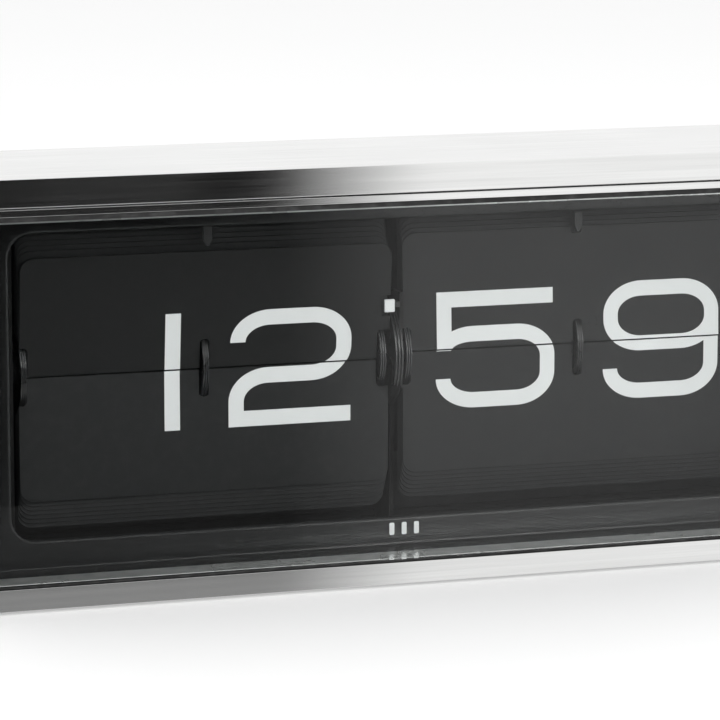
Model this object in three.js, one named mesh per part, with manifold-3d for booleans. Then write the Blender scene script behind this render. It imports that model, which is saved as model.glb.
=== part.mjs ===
// Flip number clock: two drums of split leaves behind a glass front, in a brushed steel case.
// Millimetres, +Z up. The clock faces -Y.
// The origin is under the middle of the case, on the surface it stands on.
import * as THREE from 'three';
import { mergeVertices } from 'three/addons/utils/BufferGeometryUtils.js';
import Module from 'manifold-3d';

const wasm = await Module();
wasm.setup();

// ---- driving dimensions -------------------------------------------------------------------------
const CASE_WIDTH = 370;
const CASE_HEIGHT = 160;
const CASE_DEPTH = 90;
const FOOT_HEIGHT = 1.2;
const SHEET = 1.2;
const FIT = 0.3;

// front, seen as nested rings: cover flange, steel frame, gasket, sleeve, mask
const FLANGE_WIDTH = 10.7;
const SIDE_FLANGE = 8.5;
const SEAM = 0.6;
const FRAME_SIDE_BAND = 2.6;
const FRAME_BOTTOM_BAND = 8.2;
const FRAME_RETURN = 14;
const GASKET_BAND = 1.9;
const GASKET_BOTTOM_BAND = 1;
const GASKET_WALL = 0.4;
const PANE_GAP = 0.2;
const GASKET_FRONT = 0.4;
const GLASS_FRONT = 1.4;
const GLASS_THICK = 2;
const SLEEVE_FRONT = 3.9;
const SLEEVE_BACK = 15.3;
const SLEEVE_WALL = 1;
const MASK_FRONT = 27;
const MASK_THICK = 1.5;
const WINDOW_HALF_WIDTH = 159;
const WINDOW_BOTTOM = 20;
const WINDOW_TOP = 136;
const WINDOW_RADIUS = 9;
const BASE_GAP = 0.4;
const BASE_LIFT = 0.6;
const BASE_BACK_GAP = 0.5;
const FOOT_X = 150;
const FOOT_DEPTHS = [24, 74];
const FOOT_RADIUS = 7;
const FOOT_CHAMFER = 0.6;
const FOOT_EDGE = 0.5;
const FOOT_THICK = 1.5;

// leaves: the falling leaf turns about the split line, and the drum axis lies behind it
const AXIS_Z = 78.6;
const HOUR_SPLIT_Z = AXIS_Z - 0.8;
const MINUTE_SPLIT_Z = AXIS_Z + 1.4;
const LEAF_DEPTH = 51;
const LEAF_HEIGHT = 46.4;
const LEAF_WIDTH = 147.3;
const LEAF_THICK = 0.4;
const LEAF_CORNER = 5.5;
const SET_CENTRE = 76.7;
const HOUR_LEAN = 5.7;
const MINUTE_LEAN = -2.7;
const STACK_STEP = 1.85;
const UPPER_STEPS = 6;
const LOWER_STEPS = 7;
const LAYER = 1;
const SLOT_GAP = 0.5;
const SLOT_MARGIN = 1;
const SLOT_REACH = 12;
const LEAF_FRONT = 0.15;
const UPPER_FRONT = 0.9;
const UPPER_FOOT = 1;
const UPPER_BACK_FOOT = 7;
const UPPER_SLOT_RISE = 5;
const LOWER_FRONT = 0.7;
const LOWER_SLOT_DROP = 5.5;
const REAR_PACK_LOW = [-LEAF_WIDTH / 2, 29, -45];
const REAR_PACK_HIGH = [LEAF_WIDTH / 2, 34, -0.5];
const REAR_SLOT = [20, 40];

// drums
const AXIS_DEPTH = 65;
const DISC_RADIUS = 17.2;
const DISC_THICK = 2.2;
const DISC_SPACING = 71.4;
const DISC_SHIFT = -0.9;
const DISC_SEGMENTS = 24;
const CENTRE_DISC_RADIUS = 21.6;
const CENTRE_DISC_LEFT = -2.6;
const CENTRE_DISC_RIGHT = 0.5;
const AXLE_RADIUS = 2;
const TUBE_RADIUS = 5;
const TUBE_BORE = 2.6;
const NOTCH_HEIGHT = 13;
const MINUTE_TUBE = [2.9, 153.6];
const HOUR_TUBE = [-160.8, -4.7];
const RIM_DEPTH = 1;
const RIM_GROOVE = 0.12;

// movement frame
const PLATE = 1.6;
const SIDE_PLATE_X = 155.1;
const PLATE_FRONT = 43;
const PLATE_BACK = 86.5;
const ROD_RADIUS = 2.5;
const HOUR_FINGER_X = -77.8;
const MINUTE_FINGER_X = 75.2;
const PLATE_BOTTOM = 4;
const PLATE_TOP = 152;
const LEG_FRONT = 54;
const SHOULDER_Z = 122;
const CENTRE_PLATE_LEFT = 0.9;
const CENTRE_PLATE_TOP = 151;
const CENTRE_LEG_FRONT = 62;
const CENTRE_NOSE_FRONT = 49.8;
const CENTRE_NECK_FRONT = 70;
const CENTRE_NOSE_LOW = 58;
const CENTRE_NOSE_FACE = 66;
const CENTRE_NOSE_TOP = 103.8;
const BRIDGE_X = -173;
const BRIDGE_BOTTOM = 58;
const BRIDGE_POSTS = [[84, 60], [84, 119.5], [56, 119.5]];
const POST_HALF = 2;
const FINGER_HALF_WIDTH = 1.7;
const FINGER_TIP = 0.5;
const FINGER_TAPER = 2.4;
const FINGER_LENGTH = 7.8;
const FINGER_HALF_THICK = 0.6;
const HOUR_FINGER_DEPTH = 44.6;
const HOUR_FINGER_Z = 126.2;
const MINUTE_FINGER_DEPTH = 50.4;
const MINUTE_FINGER_Z = 124.6;
const BAR_FRONT = 44;
const BAR_BACK = 47.4;
const BAR_BOTTOM = 134.5;
const BAR_TOP = 141;
const TAB_PLATE = { left: -5.8, right: -1.7, front: 47.6, back: 48.6, bottom: 96.6, top: 101.6 };
const TAB_ARM = { left: -2.6, right: 0.6, front: 48.4, back: 51, bottom: 98.2, top: 100.6 };

// gears: pitch radius is half of module times teeth
const TRAIN_DISTANCE = 21;
const FAST_MODULE = 0.7;
const SLOW_MODULE = 0.6;
const GEAR_THICK = 2;
const MOTOR_ANGLE = 225;
const LARGE_TEETH = 60;
const MIDDLE_TEETH = 48;
const SMALL_TEETH = 12;
const PINION_TEETH = 10;
const SHAFT_RADIUS = 1.5;
const SHAFT_BORE = 1.8;
const SHAFT_LEFT = -174;
const SHAFT_RIGHT = -153.9;
const AXLE_RIGHT = 176.5;
const FAST_GEAR_X = -165;
const FAST_PINION_THICK = 2.8;
const HOUR_GEAR_LEFT = -160.3;
const SLOW_PINION_LEFT = -160.8;
const SLOW_PINION_THICK = 3;
const DRIVE_GEAR_LEFT = 158;
const CAN_RADIUS = 14;
const CAN_LEFT = 162.6;
const CAN_RIGHT = 168.6;
const CAN_LEG_RIGHT = 163;
const CAN_LEG_HALF = 1.6;
const CAN_LEGS = [[-11, -4], [-4, -11]];
const MOTOR_SHAFT_RADIUS = 1.1;
const MOTOR_SHAFT = [157.4, 162.3];
const MOTOR_PINION = [157.6, 160.4];
const BOARD_LOW = [157.4, 58, 12];
const BOARD_HIGH = [159, 84, 50];

// rear
const PANEL_FRONT = 87.3;
const PANEL_THICK = 1.5;
const WHEEL_RADIUS = 24.8;
const WHEEL_X = 172.3;
const WHEEL_THICK = 6;
const BOX_CENTRE_X = 167.2;
const BOX_CENTRE_Z = 117.5;
const BOX_OUTER = 18.4;
const BOX_WALL = 1.2;
const CELL_RADIUS = 7.1;
const SCREW_X = 174.5;
const SCREW_Z = [7, 153];
const SCREW_ROOT = 80.1;
const SCREW_SHANK = 1.4;
const SCREW_HEAD = 3;
const SCREW_HEAD_TOP = 2.6;
const SCREW_LENGTH = 9;
const SCREW_HEAD_HEIGHT = 0.6;
const SCREW_TAB_FRONT = 78;
const SCREW_TAB_HALF = 4;
const SCREW_TAB_TOP = 4.5;
const SCREW_TAB_OVERLAP = 0.5;
const SCREW_HOLE_RADIUS = 1.8;
const SCREW_HOLE_LENGTH = 20;
const SCREW_HOLE_CENTRE = 80;
const PANEL_BOTTOM = 2.2;
const WHEEL_SLOT_HALF = 14;
const WHEEL_SLOT_GAP = 1;
const WHEEL_SLOT_RADIUS = 2;
const WHEEL_RIDGES = 40;
const WHEEL_RIDGE_HEIGHT = 0.7;
const DOOR_OPENING_GAP = 0.6;
const DOOR_GAP = 1;
const BOX_FRONT = 29.3;
const BOX_BACK = 86.9;
const BOX_RADIUS = 1.5;
const CELL_FRONT = 34.4;
const CELL_BACK = 83.4;
const CELL_TIP = 84.6;
const CELL_TIP_RADIUS = 2.7;
const SPRING_TURNS = 3;
const SPRING_RADIUS = 4;
const SPRING_FRONT = 31.2;
const SPRING_LENGTH = 2.6;
const SPRING_WIRE = 0.35;
const SPRING_STEPS = 36;
const CONTACT_HALF = 3;
const CONTACT_DROP = 4;
const CONTACT_FRONT = 85;
const CONTACT_THICK = 0.5;
const CONTACT_FOOT_FRONT = 85.4;
const CONTACT_FOOT_TOP = 3.4;
const CONTACT_PANEL_GAP = 0.05;

const TOP = CASE_HEIGHT;
const FRAME_OUTER = CASE_WIDTH / 2 - SIDE_FLANGE - SEAM;
const FRAME_INNER = FRAME_OUTER - FRAME_SIDE_BAND;
const FRAME_TOP = TOP - FLANGE_WIDTH - SEAM;
const OPENING_TOP = FRAME_TOP - FRAME_SIDE_BAND;
const SLEEVE_OUTER = FRAME_INNER - GASKET_BAND;

// ---- helpers ------------------------------------------------------------------------------------
const clock = new THREE.Group();
const body = new THREE.Group();
body.position.set(0, -CASE_DEPTH / 2, FOOT_HEIGHT);
clock.add(body);
// Inside `body`, X is across, Y is the depth behind the front face
// and Z is the height over the bottom of the case.

function addPart(name, geometry, material, parent = body) {
  const mesh = new THREE.Mesh(geometry, material);
  mesh.name = name;
  parent.add(mesh);
  return mesh;
}

function toSolid(geometry) {
  const plain = geometry.clone();
  plain.deleteAttribute('normal');
  plain.deleteAttribute('uv');
  const merged = mergeVertices(plain, 1e-4);
  const vertProperties = merged.attributes.position.array;
  const triVerts = merged.index.array;
  return new wasm.Manifold(new wasm.Mesh({ numProp: 3, vertProperties, triVerts }));
}

function toGeometry(solid) {
  const mesh = solid.getMesh();
  const geometry = new THREE.BufferGeometry();
  geometry.setAttribute('position', new THREE.BufferAttribute(mesh.vertProperties, 3));
  geometry.setIndex(new THREE.BufferAttribute(mesh.triVerts, 1));
  geometry.computeVertexNormals();
  return geometry;
}

function join(...geometries) {
  return toGeometry(geometries.map(toSolid).reduce((sum, next) => sum.add(next)));
}

function cut(geometry, ...tools) {
  return toGeometry(tools.map(toSolid).reduce((rest, tool) => rest.subtract(tool), toSolid(geometry)));
}

// A box between two corners, each given as [x, depth, z].
function block(low, high) {
  const size = high.map((value, i) => value - low[i]);
  const middle = high.map((value, i) => (value + low[i]) / 2);
  return new THREE.BoxGeometry(...size).translate(...middle);
}

// An outline in the front view (x, z), extruded from one depth to another.
function frontSlab(shape, front, back, curveSegments = 6) {
  const options = { depth: back - front, bevelEnabled: false, curveSegments };
  const geometry = new THREE.ExtrudeGeometry(shape, options);
  return geometry.rotateX(Math.PI / 2).translate(0, back, 0);
}

// An outline in the side view (depth, z), extruded from one x to another.
function sideSlab(shape, left, right, curveSegments = 8) {
  const options = { depth: right - left, bevelEnabled: false, curveSegments };
  const geometry = new THREE.ExtrudeGeometry(shape, options);
  const turn = new THREE.Matrix4().makeBasis(
    new THREE.Vector3(0, 1, 0),
    new THREE.Vector3(0, 0, 1),
    new THREE.Vector3(1, 0, 0),
  );
  return geometry.applyMatrix4(turn).translate(left, 0, 0);
}

// Outlines always run anticlockwise, so that their holes can run clockwise.
function polygon(points) {
  const corners = points.map(([x, y]) => new THREE.Vector2(x, y));
  return new THREE.Shape(THREE.ShapeUtils.isClockWise(corners) ? corners.reverse() : corners);
}

function rectangle(halfWidth, bottom, top) {
  return polygon([[-halfWidth, bottom], [halfWidth, bottom], [halfWidth, top], [-halfWidth, top]]);
}

function roundedRectangle(left, bottom, right, top, radius) {
  const shape = new THREE.Shape();
  shape.moveTo(left + radius, bottom);
  shape.lineTo(right - radius, bottom);
  shape.absarc(right - radius, bottom + radius, radius, -Math.PI / 2, 0);
  shape.lineTo(right, top - radius);
  shape.absarc(right - radius, top - radius, radius, 0, Math.PI / 2);
  shape.lineTo(left + radius, top);
  shape.absarc(left + radius, top - radius, radius, Math.PI / 2, Math.PI);
  shape.lineTo(left, bottom + radius);
  shape.absarc(left + radius, bottom + radius, radius, Math.PI, 1.5 * Math.PI);
  return shape;
}

function frontRing(outer, inner, front, back) {
  outer.holes.push(inner);
  return frontSlab(outer, front, back);
}

function circleHole(x, y, radius) {
  return new THREE.Path().absarc(x, y, radius, 0, 2 * Math.PI, true);
}

// A round bar along X between two places, on the axis at (depth, z).
function bar(radius, left, right, depth, z, segments = 16) {
  const geometry = new THREE.CylinderGeometry(radius, radius, right - left, segments);
  return geometry.rotateZ(-Math.PI / 2).translate((left + right) / 2, depth, z);
}

// A turned ring about the X axis: the profile is a closed list of [x, radius], anticlockwise in that view.
function turned(profile, segments) {
  const points = [...profile, profile[0]].map(([x, radius]) => new THREE.Vector2(radius, x));
  return new THREE.LatheGeometry(points.reverse(), segments).rotateZ(-Math.PI / 2);
}

function spurGear(teeth, module, bore, left, right) {
  const pitchRadius = module * teeth / 2;
  const tipRadius = pitchRadius + 0.75 * module;
  const rootRadius = pitchRadius - 1.05 * module;
  const pitchAngle = 2 * Math.PI / teeth;
  const corners = [
    [rootRadius, -0.27],
    [tipRadius, -0.09],
    [tipRadius, 0.09],
    [rootRadius, 0.27],
  ];
  const points = [];
  for (let tooth = 0; tooth < teeth; tooth += 1) {
    for (const [radius, share] of corners) {
      const angle = (tooth + share) * pitchAngle;
      points.push([radius * Math.cos(angle), radius * Math.sin(angle)]);
    }
  }
  const shape = polygon(points);
  shape.holes.push(circleHole(0, 0, bore));
  return sideSlab(shape, left, right, 6);
}

function finish(color, roughness, metalness) {
  return new THREE.MeshStandardMaterial({ color, roughness, metalness });
}

const steelCover = () => finish(0xc4c6c8, 0.32, 1);
const steelBright = () => finish(0xc9cbcc, 0.25, 1);
const steelShaft = () => finish(0x9da0a3, 0.35, 1);
const blackPlastic = () => finish(0x1b1c1d, 0.45, 0);
const blackGloss = () => finish(0x222426, 0.25, 0);
const leafPlastic = () => finish(0x2c2e2f, 0.5, 0);
const whitePlastic = () => finish(0xe6e7e6, 0.5, 0);
const rubber = () => finish(0x141414, 0.85, 0);
const brass = () => finish(0xb8964a, 0.35, 1);

// ---- case ---------------------------------------------------------------------------------------
function outerCover() {
  const half = CASE_WIDTH / 2;
  const inner = half - SHEET;
  const shell = polygon([
    [-half, 0], [-inner, 0], [-inner, TOP - SHEET], [inner, TOP - SHEET],
    [inner, 0], [half, 0], [half, TOP], [-half, TOP],
  ]);
  const lip = half - SIDE_FLANGE;
  const flange = polygon([
    [-half, 0], [-lip, 0], [-lip, TOP - FLANGE_WIDTH], [lip, TOP - FLANGE_WIDTH],
    [lip, 0], [half, 0], [half, TOP], [-half, TOP],
  ]);
  const parts = [frontSlab(shell, 0, CASE_DEPTH), frontSlab(flange, 0, SHEET)];
  const holes = [];
  for (const side of [-1, 1]) {
    for (const z of SCREW_Z) {
      const reach = [side * (SCREW_X - SCREW_TAB_HALF), side * (inner + SCREW_TAB_OVERLAP)];
      const low = [Math.min(...reach), SCREW_TAB_FRONT, z - SCREW_TAB_HALF];
      parts.push(block(low, [Math.max(...reach), PANEL_FRONT - FIT, z + SCREW_TAB_TOP]));
      const hole = new THREE.CylinderGeometry(SCREW_HOLE_RADIUS, SCREW_HOLE_RADIUS, SCREW_HOLE_LENGTH, 8);
      holes.push(hole.translate(side * SCREW_X, SCREW_HOLE_CENTRE, z));
    }
  }
  return cut(join(...parts), ...holes);
}

function frontFrame() {
  const face = frontRing(
    rectangle(FRAME_OUTER, 0, FRAME_TOP),
    rectangle(FRAME_INNER, FRAME_BOTTOM_BAND, OPENING_TOP),
    0, SHEET,
  );
  const wall = frontRing(
    rectangle(FRAME_OUTER, 0, FRAME_TOP),
    rectangle(FRAME_OUTER - SHEET, SHEET, FRAME_TOP - SHEET),
    0, FRAME_RETURN,
  );
  return join(face, wall);
}

function glassGasket() {
  const outerHalf = FRAME_INNER - FIT;
  const bottom = FRAME_BOTTOM_BAND + FIT;
  const top = OPENING_TOP - FIT;
  const lip = frontRing(
    rectangle(outerHalf, bottom, top),
    rectangle(SLEEVE_OUTER, FRAME_BOTTOM_BAND + GASKET_BOTTOM_BAND, OPENING_TOP - GASKET_BAND),
    GASKET_FRONT, GLASS_FRONT - FIT,
  );
  const wall = frontRing(
    rectangle(outerHalf, bottom, top),
    rectangle(outerHalf - GASKET_WALL, bottom + GASKET_WALL, top - GASKET_WALL),
    GASKET_FRONT, GLASS_FRONT + GLASS_THICK,
  );
  return join(lip, wall);
}

function glassPane() {
  const margin = FIT + GASKET_WALL + PANE_GAP;
  const pane = rectangle(FRAME_INNER - margin, FRAME_BOTTOM_BAND + margin, OPENING_TOP - margin);
  return frontSlab(pane, GLASS_FRONT, GLASS_FRONT + GLASS_THICK);
}

function sleeveRing(front, back) {
  const bottom = FRAME_BOTTOM_BAND + GASKET_BOTTOM_BAND - SLEEVE_WALL;
  const top = OPENING_TOP - GASKET_BAND;
  return frontRing(
    rectangle(SLEEVE_OUTER, bottom, top),
    rectangle(SLEEVE_OUTER - SLEEVE_WALL, bottom + SLEEVE_WALL, top - SLEEVE_WALL),
    front, back,
  );
}

function displayMask() {
  const bottom = FRAME_BOTTOM_BAND + GASKET_BOTTOM_BAND - SLEEVE_WALL;
  const top = OPENING_TOP - GASKET_BAND;
  const panel = frontRing(
    rectangle(SLEEVE_OUTER, bottom, top),
    roundedRectangle(-WINDOW_HALF_WIDTH, WINDOW_BOTTOM, WINDOW_HALF_WIDTH, WINDOW_TOP, WINDOW_RADIUS),
    MASK_FRONT, MASK_FRONT + MASK_THICK,
  );
  return join(sleeveRing(SLEEVE_BACK + FIT, MASK_FRONT + MASK_THICK), panel);
}

function basePlate() {
  const half = CASE_WIDTH / 2 - SHEET - BASE_GAP;
  const low = [-half, FRAME_RETURN + BASE_GAP, BASE_LIFT];
  return block(low, [half, CASE_DEPTH - BASE_BACK_GAP, BASE_LIFT + SHEET]);
}

function rearPanel() {
  const half = CASE_WIDTH / 2 - SHEET - BASE_GAP;
  const panel = rectangle(half, PANEL_BOTTOM, TOP - SHEET - BASE_GAP);
  const slotHalf = WHEEL_THICK / 2 + WHEEL_SLOT_GAP;
  panel.holes.push(roundedRectangle(
    WHEEL_X - slotHalf, AXIS_Z - WHEEL_SLOT_HALF,
    WHEEL_X + slotHalf, AXIS_Z + WHEEL_SLOT_HALF, WHEEL_SLOT_RADIUS,
  ));
  const door = BOX_OUTER / 2 - DOOR_OPENING_GAP;
  panel.holes.push(polygon([
    [BOX_CENTRE_X - door, BOX_CENTRE_Z - door], [BOX_CENTRE_X + door, BOX_CENTRE_Z - door],
    [BOX_CENTRE_X + door, BOX_CENTRE_Z + door], [BOX_CENTRE_X - door, BOX_CENTRE_Z + door],
  ]));
  for (const x of [-SCREW_X, SCREW_X]) {
    for (const z of SCREW_Z) {
      panel.holes.push(circleHole(x, z, SCREW_HOLE_RADIUS));
    }
  }
  return frontSlab(panel, PANEL_FRONT, PANEL_FRONT + PANEL_THICK, 3);
}

function rearScrew() {
  const end = SCREW_LENGTH + SCREW_HEAD_HEIGHT;
  const profile = [
    [0, 0], [0, SCREW_SHANK], [SCREW_LENGTH, SCREW_SHANK],
    [SCREW_LENGTH, SCREW_HEAD], [end, SCREW_HEAD_TOP], [end, 0],
  ];
  const points = profile.map(([y, radius]) => new THREE.Vector2(radius, y));
  return new THREE.LatheGeometry(points, 10);
}

function rubberFoot() {
  const profile = [
    [0, 0], [FOOT_RADIUS - FOOT_CHAMFER, 0], [FOOT_RADIUS, FOOT_EDGE],
    [FOOT_RADIUS, FOOT_THICK], [0, FOOT_THICK],
  ];
  return new THREE.LatheGeometry(profile.map(([r, y]) => new THREE.Vector2(r, y)), 20).rotateX(Math.PI / 2);
}

function buildCase() {
  addPart('outer_cover', outerCover(), steelCover());
  addPart('front_frame', frontFrame(), steelCover());
  addPart('glass_gasket', glassGasket(), rubber());
  addPart('glass_pane', glassPane(), finish(0xf2f5f6, 0.03, 0));
  addPart('window_sleeve', sleeveRing(SLEEVE_FRONT, SLEEVE_BACK), steelBright());
  addPart('display_mask', displayMask(), blackGloss());
  addPart('base_plate', basePlate(), steelShaft());
  addPart('rear_panel', rearPanel(), blackPlastic());
  let count = 0;
  for (const x of [-SCREW_X, SCREW_X]) {
    for (const z of SCREW_Z) {
      count += 1;
      addPart(`rear_screw_${count}`, rearScrew(), steelShaft()).position.set(x, SCREW_ROOT, z);
    }
  }
  count = 0;
  for (const x of [-FOOT_X, FOOT_X]) {
    for (const depth of FOOT_DEPTHS) {
      count += 1;
      addPart(`rubber_foot_${count}`, rubberFoot(), rubber()).position.set(x, depth, -FOOT_HEIGHT);
    }
  }
}

// ---- movement frame -----------------------------------------------------------------------------
function sidePlate(side, shaftHole) {
  const outline = polygon([
    [PLATE_FRONT, SHOULDER_Z], [PLATE_FRONT, PLATE_TOP], [PLATE_BACK, PLATE_TOP],
    [PLATE_BACK, PLATE_BOTTOM], [LEG_FRONT, PLATE_BOTTOM], [LEG_FRONT, SHOULDER_Z],
  ]);
  outline.holes.push(circleHole(AXIS_DEPTH, AXIS_Z, shaftHole));
  if (side < 0) {
    outline.holes.push(circleHole(AXIS_DEPTH, AXIS_Z + TRAIN_DISTANCE, SHAFT_BORE));
  }
  return sideSlab(outline, side * SIDE_PLATE_X - PLATE / 2, side * SIDE_PLATE_X + PLATE / 2);
}

const ROD_PLACES = [[67, 9], [82, 9], [82, 146]];

function centrePlate() {
  const outline = polygon([
    [CENTRE_LEG_FRONT, PLATE_BOTTOM], [CENTRE_LEG_FRONT, CENTRE_NOSE_LOW],
    [CENTRE_NOSE_FRONT, CENTRE_NOSE_FACE], [CENTRE_NOSE_FRONT, CENTRE_NOSE_TOP],
    [CENTRE_NECK_FRONT, CENTRE_NOSE_TOP], [CENTRE_NECK_FRONT, CENTRE_PLATE_TOP],
    [PLATE_BACK, CENTRE_PLATE_TOP], [PLATE_BACK, PLATE_BOTTOM],
  ]);
  outline.holes.push(circleHole(AXIS_DEPTH, AXIS_Z, AXLE_RADIUS + FIT));
  for (const [depth, z] of ROD_PLACES) {
    outline.holes.push(circleHole(depth, z, ROD_RADIUS + FIT));
  }
  return sideSlab(outline, CENTRE_PLATE_LEFT, CENTRE_PLATE_LEFT + PLATE);
}

function trainBridge() {
  const outline = polygon([
    [PLATE_FRONT, BRIDGE_BOTTOM], [PLATE_BACK, BRIDGE_BOTTOM],
    [PLATE_BACK, SHOULDER_Z], [PLATE_FRONT, SHOULDER_Z],
  ]);
  outline.holes.push(circleHole(AXIS_DEPTH, AXIS_Z, AXLE_RADIUS + FIT));
  outline.holes.push(circleHole(AXIS_DEPTH, AXIS_Z + TRAIN_DISTANCE, SHAFT_BORE));
  const parts = [sideSlab(outline, BRIDGE_X, BRIDGE_X + PLATE)];
  const postEnd = -SIDE_PLATE_X - PLATE / 2 - FIT;
  for (const [depth, z] of BRIDGE_POSTS) {
    const low = [BRIDGE_X + PLATE / 2, depth - POST_HALF, z - POST_HALF];
    parts.push(block(low, [postEnd, depth + POST_HALF, z + POST_HALF]));
  }
  return join(...parts);
}

function catchFinger() {
  const outline = polygon([
    [-FINGER_HALF_WIDTH, FINGER_LENGTH], [-FINGER_HALF_WIDTH, FINGER_TAPER], [-FINGER_TIP, 0],
    [FINGER_TIP, 0], [FINGER_HALF_WIDTH, FINGER_TAPER], [FINGER_HALF_WIDTH, FINGER_LENGTH],
  ]);
  return frontSlab(outline, -FINGER_HALF_THICK, FINGER_HALF_THICK);
}

function indexTab() {
  const blocks = [TAB_PLATE, TAB_ARM].map(({ left, right, front, back, bottom, top }) => (
    block([left, front, bottom], [right, back, top])
  ));
  return join(...blocks);
}

function buildMovementFrame() {
  const inner = SIDE_PLATE_X - PLATE / 2 - FIT;
  addPart('left_plate', sidePlate(-1, TUBE_RADIUS + FIT), blackPlastic());
  addPart('centre_plate', centrePlate(), finish(0x343637, 0.5, 0));
  addPart('right_plate', sidePlate(1, AXLE_RADIUS + FIT), blackPlastic());
  ROD_PLACES.forEach(([depth, z], i) => {
    addPart(`tie_rod_${i + 1}`, bar(ROD_RADIUS, -inner, inner, depth, z, 10), steelShaft());
  });
  addPart('catch_bar', block([-inner, BAR_FRONT, BAR_BOTTOM], [inner, BAR_BACK, BAR_TOP]), blackPlastic());
  const hourFinger = addPart('hour_catch_finger', catchFinger(), blackPlastic());
  hourFinger.position.set(HOUR_FINGER_X, HOUR_FINGER_DEPTH, HOUR_FINGER_Z);
  const minuteFinger = addPart('minute_catch_finger', catchFinger(), blackPlastic());
  minuteFinger.position.set(MINUTE_FINGER_X, MINUTE_FINGER_DEPTH, MINUTE_FINGER_Z);
  addPart('index_tab', indexTab(), whitePlastic());
  addPart('train_bridge', trainBridge(), steelShaft());
}

// ---- drums and train ----------------------------------------------------------------------------
// The rim is two thin edges with a groove between them, and the web inside the rim is thinner.
function drumDisc(radius, thick, bore) {
  const half = thick / 2;
  const groove = thick * RIM_GROOVE;
  return turned([
    [-half, bore], [half, bore], [half, radius], [groove, radius], [groove, radius - RIM_DEPTH],
    [-groove, radius - RIM_DEPTH], [-groove, radius], [-half, radius],
  ], DISC_SEGMENTS);
}

function tube(left, right, outer, inner) {
  return turned([[left, inner], [right, inner], [right, outer], [left, outer]], 16);
}

function settingWheel() {
  const points = [];
  for (let i = 0; i < 2 * WHEEL_RIDGES; i += 1) {
    const angle = i * Math.PI / WHEEL_RIDGES;
    const radius = i % 2 ? WHEEL_RADIUS : WHEEL_RADIUS - WHEEL_RIDGE_HEIGHT;
    points.push([radius * Math.cos(angle), radius * Math.sin(angle)]);
  }
  const outline = polygon(points);
  outline.holes.push(circleHole(0, 0, AXLE_RADIUS + FIT));
  return sideSlab(outline, -WHEEL_THICK / 2, WHEEL_THICK / 2, 6);
}

function onAxis() {
  const group = new THREE.Group();
  group.position.set(0, AXIS_DEPTH, AXIS_Z);
  body.add(group);
  return group;
}

function addDiscs(prefix, centre, group) {
  const names = ['left', 'middle', 'right'];
  names.forEach((name, i) => {
    const disc = drumDisc(DISC_RADIUS, DISC_THICK, TUBE_RADIUS + FIT);
    const x = centre + DISC_SHIFT + (i - 1) * DISC_SPACING;
    addPart(`${prefix}_disc_${name}`, disc, blackPlastic(), group).position.x = x;
  });
}

function buildDrums() {
  const axis = onAxis();
  addPart('minute_axle', bar(AXLE_RADIUS, SHAFT_LEFT, AXLE_RIGHT, 0, 0, 12), steelShaft(), axis);
  const minuteTube = tube(...MINUTE_TUBE, TUBE_RADIUS, AXLE_RADIUS + FIT);
  addPart('minute_drum_tube', minuteTube, blackPlastic(), axis);
  addPart('hour_drum_tube', tube(...HOUR_TUBE, TUBE_RADIUS, TUBE_BORE), blackPlastic(), axis);
  addDiscs('minute', SET_CENTRE, axis);
  addDiscs('hour', -SET_CENTRE, axis);
  const centreDisc = drumDisc(CENTRE_DISC_RADIUS, CENTRE_DISC_RIGHT - CENTRE_DISC_LEFT, AXLE_RADIUS + FIT);
  const centreX = (CENTRE_DISC_RIGHT + CENTRE_DISC_LEFT) / 2;
  addPart('centre_disc', centreDisc, blackPlastic(), axis).position.x = centreX;
  addPart('setting_wheel', settingWheel(), blackPlastic(), axis).position.x = WHEEL_X;
}

// A gear given by its left face and its thickness.
function gearAt(teeth, module, bore, left, thick) {
  return spurGear(teeth, module, bore, left, left + thick);
}

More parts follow.
